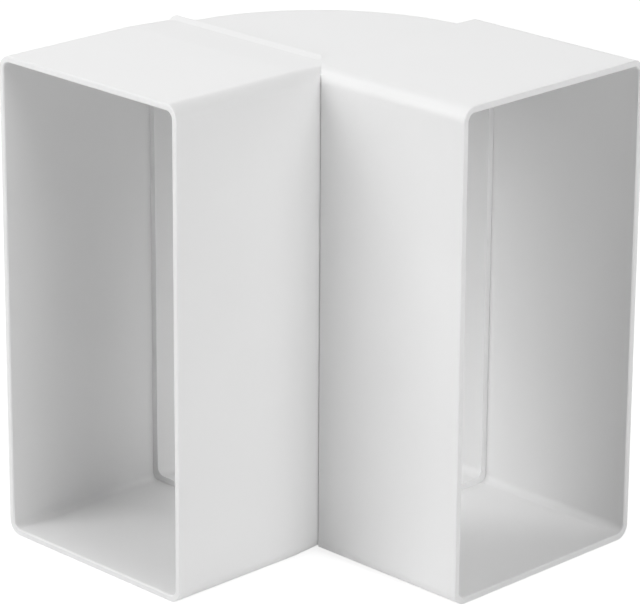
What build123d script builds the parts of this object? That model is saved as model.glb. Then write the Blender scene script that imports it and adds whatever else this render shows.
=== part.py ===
import os

from build123d import *

# Flat duct vertical bend, moulded in one piece.
# It turns a flat duct through a right angle with the long side of the duct's section upright.
# Each mouth is a socket that the duct pushes into until it meets a seat, and a quarter-round
# passage of the duct's own bore joins the two sockets.

# The duct that the bend takes, outside sizes
duct_height = 110.0
duct_width = 54.0
duct_wall = 1.5

# Free space between duct and socket, on each side
fit_clearance = 0.25

# The fitting
wall = 1.5
socket_depth = 43.0
socket_tail = 5.5
bend_lead = 1.0
socket_corner_radius = 1.8
passage_corner_radius = 2.0

# The raised lip that ends the tail of the -Y socket, behind a shallow sunk band
lip_land = 0.3
lip_ramp = 1.8
lip_height = 0.65
sunk_length = 12.0

# Small edge treatments
mouth_lead_in = 0.25
mouth_edge_round = 0.3
back_edge_round = 0.2
inner_edge_round = 0.5

# Socket: the duct's outside and its clearance, then the wall
cavity_height = duct_height + 2 * fit_clearance
cavity_width = duct_width + 2 * fit_clearance
socket_height = cavity_height + 2 * wall
socket_width = cavity_width + 2 * wall

# Passage: a seat as deep as the duct's wall stands above, below and on the outer side of the bend
passage_height = cavity_height - 2 * duct_wall
passage_reach = cavity_width - duct_wall
bend_height = passage_height + 2 * wall
bend_reach = passage_reach + wall

# The round starts where the sockets' outsides end
round_start = socket_tail - bend_lead
passage_radius = passage_reach - round_start
bend_radius = bend_reach - round_start

# The pivot is the upright line where the two sockets' inner walls meet inside.
# It is placed so that the origin lies under the middle of the whole piece.
pivot_offset = (cavity_width + wall - bend_lead - socket_depth) / 2
pivot_x = pivot_offset
pivot_y = -pivot_offset
mid_height = socket_height / 2
pivot = (pivot_x, pivot_y, mid_height)
mitre_plane = Plane(origin=pivot, z_dir=(1, 1, 0))

# Sections of the +X socket, seen from its mouth
seat_x = pivot_x + bend_lead
section_y = pivot_y + cavity_width / 2
seat_plane = Plane(origin=(seat_x, section_y, mid_height), x_dir=(0, 1, 0), z_dir=(1, 0, 0))
back_plane = seat_plane.offset(-socket_tail)
ramp_plane = back_plane.offset(-lip_ramp)
lip_plane = ramp_plane.offset(-lip_land)
run_plane = back_plane.offset(sunk_length)
mouth_plane = seat_plane.offset(socket_depth)
socket_outer_radius = socket_corner_radius + wall

# Outside of the +X socket, plain from its back edge to its mouth
with BuildPart() as plain_socket:
    with BuildSketch(back_plane):
        RectangleRounded(socket_width, socket_height, socket_outer_radius)
    extrude(amount=socket_tail + socket_depth)
    fillet(plain_socket.faces().sort_by(Axis.X)[0].edges(), back_edge_round)
    fillet(plain_socket.faces().sort_by(Axis.X)[-1].edges(), mouth_edge_round)

# Outside of the -Y socket, drawn in the place of the other: from its lip over the sunk band to its mouth
with BuildPart() as lipped_socket:
    with BuildSketch(lip_plane) as lip_back:
        RectangleRounded(socket_width, socket_height, socket_outer_radius)
    with BuildSketch(ramp_plane) as lip_front:
        RectangleRounded(socket_width, socket_height, socket_outer_radius)
    with BuildSketch(back_plane) as sunk_foot:
        RectangleRounded(
            socket_width - 2 * lip_height,
            socket_height - 2 * lip_height,
            socket_outer_radius - lip_height,
        )
    with BuildSketch(run_plane) as run_start:
        RectangleRounded(socket_width, socket_height, socket_outer_radius)
    with BuildSketch(mouth_plane) as run_end:
        RectangleRounded(socket_width, socket_height, socket_outer_radius)
    outline = [lip_back.sketch, lip_front.sketch, sunk_foot.sketch, run_start.sketch, run_end.sketch]
    loft(sections=outline, ruled=True)
    fillet(lipped_socket.faces().sort_by(Axis.X)[0].edges(), back_edge_round)
    fillet(lipped_socket.faces().sort_by(Axis.X)[-1].edges(), mouth_edge_round)

# Room for the duct in one socket, with a lead-in at the mouth
with BuildPart() as socket_cavity:
    with BuildSketch(seat_plane):
        RectangleRounded(cavity_width, cavity_height, socket_corner_radius)
    extrude(amount=socket_depth)
    with BuildSketch(mouth_plane) as mouth:
        RectangleRounded(
            cavity_width + 2 * mouth_lead_in,
            cavity_height + 2 * mouth_lead_in,
            socket_corner_radius + mouth_lead_in,
        )
    with BuildSketch(mouth_plane.offset(-mouth_lead_in)) as throat:
        RectangleRounded(cavity_width, cavity_height, socket_corner_radius)
    loft(sections=[throat.sketch, mouth.sketch])

# Outside of the bend: a quarter round that runs on straight into both sockets
with BuildPart() as bend_body:
    with BuildSketch(Plane(origin=(pivot_x, pivot_y, mid_height - bend_height / 2))):
        with BuildLine():
            Line((bend_lead, -bend_lead), (-bend_reach, -bend_lead))
            Line((-bend_reach, -bend_lead), (-bend_reach, round_start))
            RadiusArc((-bend_reach, round_start), (-round_start, bend_reach), bend_radius)
            Line((-round_start, bend_reach), (bend_lead, bend_reach))
            Line((bend_lead, bend_reach), (bend_lead, -bend_lead))
        make_face()
    extrude(amount=bend_height)
    rim_edges = bend_body.edges().filter_by(GeomType.CIRCLE)
    fillet(rim_edges, passage_corner_radius + wall)

# Bore of the bend, flush with the sockets' inner walls and rounded where those walls meet
bore_run = bend_lead + inner_edge_round
with BuildPart() as passage:
    with BuildSketch(Plane(origin=(pivot_x, pivot_y, mid_height - passage_height / 2))):
        with BuildLine():
            Line((0, -inner_edge_round), (0, -bore_run))
            Line((0, -bore_run), (-passage_reach, -bore_run))
            Line((-passage_reach, -bore_run), (-passage_reach, round_start))
            RadiusArc((-passage_reach, round_start), (-round_start, passage_reach), passage_radius)
            Line((-round_start, passage_reach), (bore_run, passage_reach))
            Line((bore_run, passage_reach), (bore_run, 0))
            Line((bore_run, 0), (inner_edge_round, 0))
            RadiusArc((inner_edge_round, 0), (0, -inner_edge_round), -inner_edge_round)
        make_face()
    extrude(amount=passage_height)
    bore_edges = passage.edges().filter_by(GeomType.CIRCLE).group_by(SortBy.RADIUS)[-1]
    fillet(bore_edges, passage_corner_radius)

# Each half of the piece, cut where the two sockets mitre
halves = []
for socket in (plain_socket, lipped_socket):
    with BuildPart() as half:
        add(socket.part)
        add(bend_body.part)
        add(socket_cavity.part, mode=Mode.SUBTRACT)
        add(passage.part, mode=Mode.SUBTRACT)
        split(bisect_by=mitre_plane, keep=Keep.TOP)
    halves.append(half.part)

# The finished bend: the plain half, and the lipped half turned over to face -Y
with BuildPart() as vertical_bend:
    add(halves[0])
    add(mirror(halves[1], about=mitre_plane, mode=Mode.PRIVATE))

os.makedirs("parts", exist_ok=True)
vertical_bend.part.label = "vertical_bend"
export_step(vertical_bend.part, "parts/vertical_bend.step")
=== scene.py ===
import math

import bpy
from bpy.props import FloatProperty, FloatVectorProperty, PointerProperty
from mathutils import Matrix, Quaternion, Vector


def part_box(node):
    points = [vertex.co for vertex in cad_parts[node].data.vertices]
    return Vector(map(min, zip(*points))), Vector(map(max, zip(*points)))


bl_info = {
    "name": "Flat Duct Vertical Bend",
    "version": (1, 0, 0),
    "blender": (4, 5, 0),
    "location": "View3D > Sidebar > Duct Bend",
    "description": "Dresses a one-piece flat duct bend in white moulded plastic and stages it",
    "category": "Object",
}

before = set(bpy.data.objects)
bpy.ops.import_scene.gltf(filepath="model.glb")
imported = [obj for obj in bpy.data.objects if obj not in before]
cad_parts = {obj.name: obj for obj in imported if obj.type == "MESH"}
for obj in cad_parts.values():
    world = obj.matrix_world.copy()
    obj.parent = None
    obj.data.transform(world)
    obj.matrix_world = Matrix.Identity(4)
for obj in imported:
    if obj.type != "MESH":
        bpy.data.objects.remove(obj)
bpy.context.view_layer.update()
BEND_NODE = "vertical_bend"
BEND_LOW, BEND_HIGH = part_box(BEND_NODE)
BEND_MIDDLE = (BEND_LOW + BEND_HIGH) / 2

# How strongly the plastic bends light, and how much finer detail its waves and grain hold
PLASTIC_IOR = 1.5
WAVE_DETAIL = 1.0
GRAIN_DETAIL = 2.0

# How far the floor reaches each way and how far it lies under the bend, in metres
FLOOR_REACH = 3.0
FLOOR_GAP = 0.0001

# Colours of the stage: the floor as it lights the bend, the floor as it is seen, and the surround
PAPER_COLOUR = (0.8, 0.8, 0.8, 1.0)
PAPER_IN_VIEW_COLOUR = (0.4, 0.4, 0.4, 1.0)
SURROUND_COLOUR = (0.8, 0.8, 0.8, 1.0)

# Width of the camera's sensor, in millimetres
SENSOR_WIDTH = 36.0

# Azimuth and elevation of each softbox, in degrees
SOFTBOX_PLACES = {
    "front": (-20, 25),
    "left": (-60, 65),
    "right": (70, 65),
    "side": (90, 30),
    "low": (80, 20),
    "back": (230, 30),
    "rear_left": (270, 15),
    "rear_right": (180, 15),
}

# Width and height of a cell in the node editor, where nodes are placed by column and row
CELL_WIDTH = 260
CELL_HEIGHT = 300


# Settings

class PlasticSettings(bpy.types.PropertyGroup):
    """Finish of the moulded plastic."""

    colour: FloatVectorProperty(
        name="Colour", description="White of the plastic", subtype="COLOR",
        size=3, min=0.0, max=1.0, default=(0.88, 0.88, 0.88),
    )
    shade_spread: FloatProperty(
        name="Shade Spread", description="How far the white drifts over the moulding",
        subtype="FACTOR", min=0.0, max=0.2, default=0.02,
    )
    roughness: FloatProperty(
        name="Roughness", description="Softness of the sheen",
        subtype="FACTOR", min=0.0, max=1.0, default=0.38,
    )
    roughness_spread: FloatProperty(
        name="Roughness Spread", description="How far the sheen changes from place to place",
        subtype="FACTOR", min=0.0, max=0.5, default=0.08,
    )
    wave_length: FloatProperty(
        name="Wave Length", description="Distance between the slow waves of a moulded wall",
        subtype="DISTANCE", unit="LENGTH", default=0.028,
    )
    wave_height: FloatProperty(
        name="Wave Height", description="Height of the slow waves of a moulded wall",
        subtype="DISTANCE", unit="LENGTH", default=0.00004,
    )
    grain_length: FloatProperty(
        name="Grain Length", description="Size of the fine grain that the mould leaves",
        subtype="DISTANCE", unit="LENGTH", default=0.0004,
    )
    grain_height: FloatProperty(
        name="Grain Height", description="Height of the fine grain that the mould leaves",
        subtype="DISTANCE", unit="LENGTH", default=0.000002,
    )


def softbox_power(name, where, watts):
    """Setting for the power of one softbox."""
    return FloatProperty(
        name=name + " Power", description="Power of the softbox " + where,
        unit="POWER", min=0.0, default=watts,
    )


class StageSettings(bpy.types.PropertyGroup):
    """Camera, lights and floor."""

    view_azimuth: FloatProperty(
        name="View Azimuth", description="Direction of the camera round the bend",
        subtype="ANGLE", default=math.radians(45.25),
    )
    view_elevation: FloatProperty(
        name="View Elevation", description="Height of the camera above the horizon",
        subtype="ANGLE", default=math.radians(19.45),
    )
    view_roll: FloatProperty(
        name="View Roll", description="Tilt of the camera about its own axis",
        subtype="ANGLE", default=math.radians(0.35),
    )
    view_distance: FloatProperty(
        name="View Distance", description="Distance from the camera to the bend",
        subtype="DISTANCE", unit="LENGTH", default=0.8157,
    )
    view_drop: FloatProperty(
        name="View Drop", description="How far the camera aims below the middle of the bend",
        subtype="DISTANCE", unit="LENGTH", default=0.0011,
    )
    lens: FloatProperty(
        name="Lens", description="Focal length of the camera in millimetres",
        unit="CAMERA", default=204.8,
    )
    front_power: softbox_power("Front", "that faces the left-hand mouth", 5.35)
    left_power: softbox_power("Left", "high on the left", 2.5)
    right_power: softbox_power("Right", "high on the right", 1.25)
    side_power: softbox_power("Side", "that faces the right-hand mouth", 3.75)
    low_power: softbox_power("Low", "below the side one and nearer to the camera", 0.75)
    back_power: softbox_power("Back", "above and behind the bend", 0.8)
    rear_left_power: softbox_power("Rear Left", "low down behind the bend on the left", 2.1)
    rear_right_power: softbox_power("Rear Right", "low down behind the bend on the right", 2.1)
    softbox_distance: FloatProperty(
        name="Softbox Distance", description="Distance from each softbox to the bend",
        subtype="DISTANCE", unit="LENGTH", default=1.0,
    )
    softbox_size: FloatProperty(
        name="Softbox Size", description="Width and height of each softbox",
        subtype="DISTANCE", unit="LENGTH", default=0.6,
    )
    floor_glow: FloatProperty(
        name="Floor Glow", description="Share of white that the floor shows by itself",
        subtype="FACTOR", min=0.0, max=1.0, default=0.8,
    )


# Nodes

def empty_tree(owner):
    """Node tree of a material or a world, with nothing in it."""
    owner.use_nodes = True
    owner.node_tree.nodes.clear()
    return owner.node_tree


def add_node(tree, kind, name, column, row, inputs=None, **attributes):
    """A named node with some of its attributes and inputs set."""
    node = tree.nodes.new(kind)
    node.name = node.label = name
    node.location = (column * CELL_WIDTH, -row * CELL_HEIGHT)
    for key, value in attributes.items():
        setattr(node, key, value)
    for key, value in (inputs or {}).items():
        node.inputs[key].default_value = value
    return node


# Material

def moulded_plastic(settings):
    """White plastic with the slow waves, fine grain and faint drift of shade that moulding leaves."""
    material = bpy.data.materials.new("white_moulded_plastic")
    tree = empty_tree(material)
    link = tree.links.new

    place = add_node(tree, "ShaderNodeTexCoord", "place on the bend", 0, 1)
    wave_inputs = {"Scale": 1 / settings.wave_length, "Detail": WAVE_DETAIL}
    waves = add_node(tree, "ShaderNodeTexNoise", "slow waves", 1, 1, wave_inputs)
    grain_inputs = {"Scale": 1 / settings.grain_length, "Detail": GRAIN_DETAIL}
    grain = add_node(tree, "ShaderNodeTexNoise", "fine grain", 1, 2, grain_inputs)
    link(place.outputs["Object"], waves.inputs["Vector"])
    link(place.outputs["Object"], grain.inputs["Vector"])

    white = Vector(settings.colour)
    shades = {
        "A": (*(white * (1 - settings.shade_spread)), 1.0),
        "B": (*(white * (1 + settings.shade_spread)), 1.0),
    }
    shade = add_node(tree, "ShaderNodeMix", "drift of shade", 2, 0, shades, data_type="RGBA")
    link(waves.outputs["Fac"], shade.inputs["Factor"])

    half_spread = settings.roughness_spread / 2
    sheens = {"To Min": settings.roughness - half_spread, "To Max": settings.roughness + half_spread}
    sheen = add_node(tree, "ShaderNodeMapRange", "drift of sheen", 2, 1, sheens)
    link(waves.outputs["Fac"], sheen.inputs["Value"])

    wave_depth = {"Distance": settings.wave_height}
    wave_bump = add_node(tree, "ShaderNodeBump", "wave relief", 2, 2, wave_depth)
    link(waves.outputs["Fac"], wave_bump.inputs["Height"])
    grain_depth = {"Distance": settings.grain_height}
    grain_bump = add_node(tree, "ShaderNodeBump", "grain relief", 3, 2, grain_depth)
    link(grain.outputs["Fac"], grain_bump.inputs["Height"])
    link(wave_bump.outputs["Normal"], grain_bump.inputs["Normal"])

    plastic = add_node(tree, "ShaderNodeBsdfPrincipled", "plastic", 4, 0, {"IOR": PLASTIC_IOR})
    link(shade.outputs["Result"], plastic.inputs["Base Color"])
    link(sheen.outputs["Result"], plastic.inputs["Roughness"])
    link(grain_bump.outputs["Normal"], plastic.inputs["Normal"])
    surface = add_node(tree, "ShaderNodeOutputMaterial", "surface", 5, 0)
    link(plastic.outputs["BSDF"], surface.inputs["Surface"])
    return material


# Stage

def seen_directly(tree):
    """Value 1 for rays that show the background itself or its reflection, else 0."""
    path = add_node(tree, "ShaderNodeLightPath", "light path", 0, 0)
    sharp = add_node(tree, "ShaderNodeMath", "camera or glossy", 1, 0, operation="MAXIMUM")
    seen = add_node(tree, "ShaderNodeMath", "or transmission", 2, 0, operation="MAXIMUM")
    tree.links.new(path.outputs["Is Camera Ray"], sharp.inputs[0])
    tree.links.new(path.outputs["Is Glossy Ray"], sharp.inputs[1])
    tree.links.new(sharp.outputs["Value"], seen.inputs[0])
    tree.links.new(path.outputs["Is Transmission Ray"], seen.inputs[1])
    return seen.outputs["Value"]


def white_floor(settings):
    """Floor that shows white, keeps the bend's soft shadow and throws light back up."""
    material = bpy.data.materials.new("white_floor")
    tree = empty_tree(material)
    link = tree.links.new
    seen = seen_directly(tree)
    paper = add_node(tree, "ShaderNodeBsdfDiffuse", "paper", 2, 1, {"Color": PAPER_COLOUR})
    in_view = add_node(tree, "ShaderNodeBsdfDiffuse", "paper in view", 2, 2, {"Color": PAPER_IN_VIEW_COLOUR})
    glow = add_node(tree, "ShaderNodeEmission", "glow in view", 2, 3, {"Strength": settings.floor_glow})
    both = add_node(tree, "ShaderNodeAddShader", "paper and glow", 3, 2)
    link(in_view.outputs["BSDF"], both.inputs[0])
    link(glow.outputs["Emission"], both.inputs[1])
    choose = add_node(tree, "ShaderNodeMixShader", "in view or not", 4, 0)
    link(seen, choose.inputs["Fac"])
    link(paper.outputs["BSDF"], choose.inputs[1])
    link(both.outputs["Shader"], choose.inputs[2])
    surface = add_node(tree, "ShaderNodeOutputMaterial", "surface", 5, 0)
    link(choose.outputs["Shader"], surface.inputs["Surface"])
    return material


def pale_surround():
    """World that is seen and mirrored as a pale surround, and throws no other light on the bend."""
    world = bpy.data.worlds.new("pale_surround")
    tree = empty_tree(world)
    link = tree.links.new
    seen = seen_directly(tree)
    background = add_node(tree, "ShaderNodeBackground", "background", 3, 0, {"Color": SURROUND_COLOUR})
    link(seen, background.inputs["Strength"])
    surface = add_node(tree, "ShaderNodeOutputWorld", "surface", 4, 0)
    link(background.outputs["Background"], surface.inputs["Surface"])
    return world


def direction(azimuth, elevation):
    """Unit vector from the bend, where azimuth starts at -Y and turns towards +X."""
    return Vector((
        math.sin(azimuth) * math.cos(elevation),
        -math.cos(azimuth) * math.cos(elevation),
        math.sin(elevation),
    ))


def add_softbox(settings, name):
    """Square soft light that faces the middle of the bend."""
    light = bpy.data.lights.new(name + "_softbox", "AREA")
    light.size = settings.softbox_size
    light.energy = getattr(settings, name + "_power")
    lamp = bpy.data.objects.new(light.name, light)
    azimuth, elevation = SOFTBOX_PLACES[name]
    towards = direction(math.radians(azimuth), math.radians(elevation))
    lamp.location = BEND_MIDDLE + towards * settings.softbox_distance
    lamp.rotation_mode = "QUATERNION"
    lamp.rotation_quaternion = (-towards).to_track_quat("-Z", "Y")
    lamp.visible_camera = False
    bpy.context.scene.collection.objects.link(lamp)


def add_camera(settings):
    """Camera at the photograph's viewing angle."""
    camera = bpy.data.cameras.new("camera")
    camera.sensor_fit = "HORIZONTAL"
    camera.sensor_width = SENSOR_WIDTH
    camera.lens = settings.lens
    viewer = bpy.data.objects.new("camera", camera)
    aim = BEND_MIDDLE - Vector((0, 0, settings.view_drop))
    towards = direction(settings.view_azimuth, settings.view_elevation)
    viewer.location = aim + towards * settings.view_distance
    viewer.rotation_mode = "QUATERNION"
    level = (-towards).to_track_quat("-Z", "Y")
    viewer.rotation_quaternion = level @ Quaternion((0, 0, 1), settings.view_roll)
    bpy.context.scene.collection.objects.link(viewer)
    bpy.context.scene.camera = viewer


def add_floor(settings):
    """Wide floor just under the bend."""
    level = BEND_LOW.z - FLOOR_GAP
    quarters = ((-1, -1), (1, -1), (1, 1), (-1, 1))
    corners = [(x * FLOOR_REACH, y * FLOOR_REACH, level) for x, y in quarters]
    mesh = bpy.data.meshes.new("floor")
    mesh.from_pydata(corners, [], [(0, 1, 2, 3)])
    mesh.materials.append(white_floor(settings))
    floor = bpy.data.objects.new("floor", mesh)
    bpy.context.scene.collection.objects.link(floor)


# Operators

class DUCT_OT_dress_bend(bpy.types.Operator):
    """Give the bend its white moulded plastic"""

    bl_idname = "duct.dress_bend"
    bl_label = "Dress Bend"

    def execute(self, context):
        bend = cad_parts[BEND_NODE]
        plastic = moulded_plastic(context.scene.duct_plastic)
        for slot in bend.material_slots:
            slot.material = plastic
        return {"FINISHED"}


class DUCT_OT_set_stage(bpy.types.Operator):
    """Set the floor, the lights, the surround and the camera"""

    bl_idname = "duct.set_stage"
    bl_label = "Set Stage"

    def execute(self, context):
        scene = context.scene
        settings = scene.duct_stage
        add_floor(settings)
        for name in SOFTBOX_PLACES:
            add_softbox(settings, name)
        scene.world = pale_surround()
        scene.view_settings.view_transform = "Standard"
        add_camera(settings)
        return {"FINISHED"}


# Panel

class DUCT_PT_bend(bpy.types.Panel):
    """Lists the steps and settings of the duct bend"""

    bl_idname = "DUCT_PT_bend"
    bl_label = "Flat Duct Bend"
    bl_space_type = "VIEW_3D"
    bl_region_type = "UI"
    bl_category = "Duct Bend"

    def draw(self, context):
        layout = self.layout
        for step in (DUCT_OT_dress_bend, DUCT_OT_set_stage):
            layout.operator(step.bl_idname)
        for group in (context.scene.duct_plastic, context.scene.duct_stage):
            box = layout.box()
            for name in group.__annotations__:
                box.prop(group, name)


CLASSES = (PlasticSettings, StageSettings, DUCT_OT_dress_bend, DUCT_OT_set_stage, DUCT_PT_bend)


def register():
    for item in CLASSES:
        bpy.utils.register_class(item)
    bpy.types.Scene.duct_plastic = PointerProperty(type=PlasticSettings)
    bpy.types.Scene.duct_stage = PointerProperty(type=StageSettings)


def unregister():
    del bpy.types.Scene.duct_stage
    del bpy.types.Scene.duct_plastic
    for item in reversed(CLASSES):
        bpy.utils.unregister_class(item)


def main():
    register()
    bpy.ops.duct.dress_bend()
    bpy.ops.duct.set_stage()


if __name__ == "__main__":
    main()
